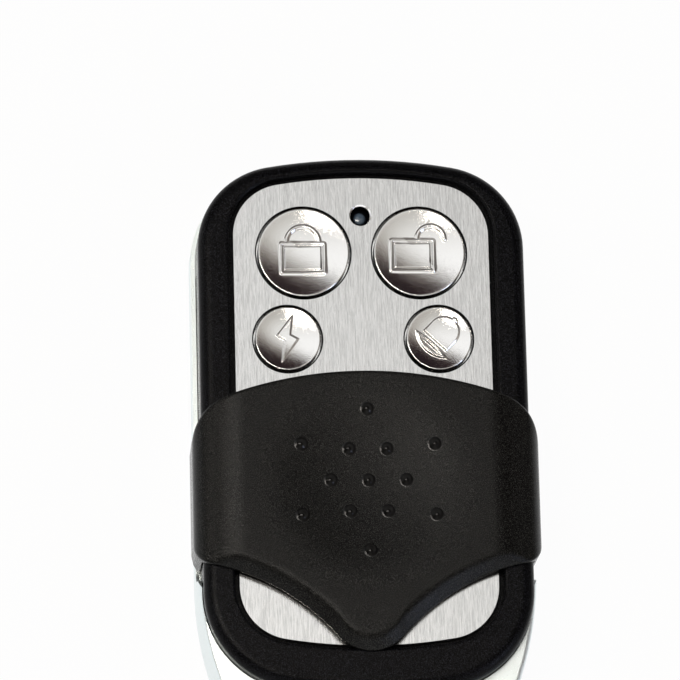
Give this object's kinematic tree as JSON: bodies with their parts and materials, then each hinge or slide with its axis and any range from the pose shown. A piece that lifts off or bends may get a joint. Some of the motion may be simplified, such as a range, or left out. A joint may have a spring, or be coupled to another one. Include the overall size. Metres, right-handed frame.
{
  "type": "cloning key fob remote",
  "caption": "Pocket remote with dished metal-look keys on a brushed plate, a black rim, a sliding cover with a thumb dish, and a key-ring eye in its tail.",
  "frame": {"origin": "under the middle of the fob, on the surface its back lies on", "axes": "+X to the right of the face, +Y to the end with the lamp, +Z out of the face"},
  "size_m": [0.0364, 0.0666, 0.0137],
  "materials": {
    "black_abs": "fine spark-eroded texture",
    "plated_shell": "bright plated ABS",
    "brushed_plate": "brushed lengthwise, polished chamfer",
    "plated_key": "bright plated ABS, slight orange peel",
    "film": "translucent adhesive film",
    "lamp_epoxy": "clear tinted epoxy",
    "tinned_metal": "tin plated",
    "board_laminate": "green solder mask",
    "copper": "copper under thin lacquer",
    "chip_epoxy": "moulded epoxy",
    "can_metal": "drawn nickel plated can",
    "part_ceramic": "fired ceramic",
    "switch_nylon": "moulded nylon",
    "plunger_nylon": "moulded nylon",
    "spring_steel": "sprung stainless",
    "battery_steel": "nickel plated steel",
    "battery_film": "plain shrunk sleeve",
    "contact_metal": "nickel plated phosphor bronze",
    "screw_steel": "zinc plated"
  },
  "bodies": {
    "case": {"front_shell": "black_abs", "rear_shell": "plated_shell", "face_plate": "brushed_plate", "plate_film": "film", "indicator_lamp": "lamp_epoxy", "lamp_leads": "tinned_metal", "circuit_board": "board_laminate", "antenna_trace": "copper", "encoder_chip": "chip_epoxy", "encoder_leads": "tinned_metal", "memory_chip": "chip_epoxy", "memory_leads": "tinned_metal", "resonator": "can_metal", "crystal": "can_metal", "transistor": "chip_epoxy", "resistors": "part_ceramic", "capacitors": "part_ceramic", "switch_pins": "tinned_metal", "battery_can": "battery_steel", "battery_cap": "battery_steel", "battery_sleeve": "battery_film", "positive_contact": "contact_metal", "negative_contact": "contact_metal", "case_screws": "screw_steel", "lock_switch_base": "switch_nylon", "lock_switch_cover": "tinned_metal", "lock_switch_dome": "spring_steel", "unlock_switch_base": "switch_nylon", "unlock_switch_cover": "tinned_metal", "unlock_switch_dome": "spring_steel", "bolt_switch_base": "switch_nylon", "bolt_switch_cover": "tinned_metal", "bolt_switch_dome": "spring_steel", "bell_switch_base": "switch_nylon", "bell_switch_cover": "tinned_metal", "bell_switch_dome": "spring_steel"},
    "slide": {"slide_cover": "black_abs"},
    "lock_press_key": {"lock_key": "plated_key", "lock_plunger": "plunger_nylon"},
    "unlock_press_key": {"unlock_key": "plated_key", "unlock_plunger": "plunger_nylon"},
    "bolt_press_key": {"bolt_key": "plated_key", "bolt_plunger": "plunger_nylon"},
    "bell_press_key": {"bell_key": "plated_key", "bell_plunger": "plunger_nylon"}
  },
  "joints": [
    {"name": "slide_travel", "type": "slide", "parent": "case", "child": "slide", "axis": [0, 1, 0], "range_m": [0, 0.0195]},
    {"name": "lock_press", "type": "slide", "parent": "case", "child": "lock_press_key", "axis": [0, 0, -1], "range_m": [0, 0.0003], "stiffness_N_per_m": 2000},
    {"name": "unlock_press", "type": "slide", "parent": "case", "child": "unlock_press_key", "axis": [0, 0, -1], "range_m": [0, 0.0003], "stiffness_N_per_m": 2000},
    {"name": "bolt_press", "type": "slide", "parent": "case", "child": "bolt_press_key", "axis": [0, 0, -1], "range_m": [0, 0.0003], "stiffness_N_per_m": 2000},
    {"name": "bell_press", "type": "slide", "parent": "case", "child": "bell_press_key", "axis": [0, 0, -1], "range_m": [0, 0.0003], "stiffness_N_per_m": 2000}
  ]
}
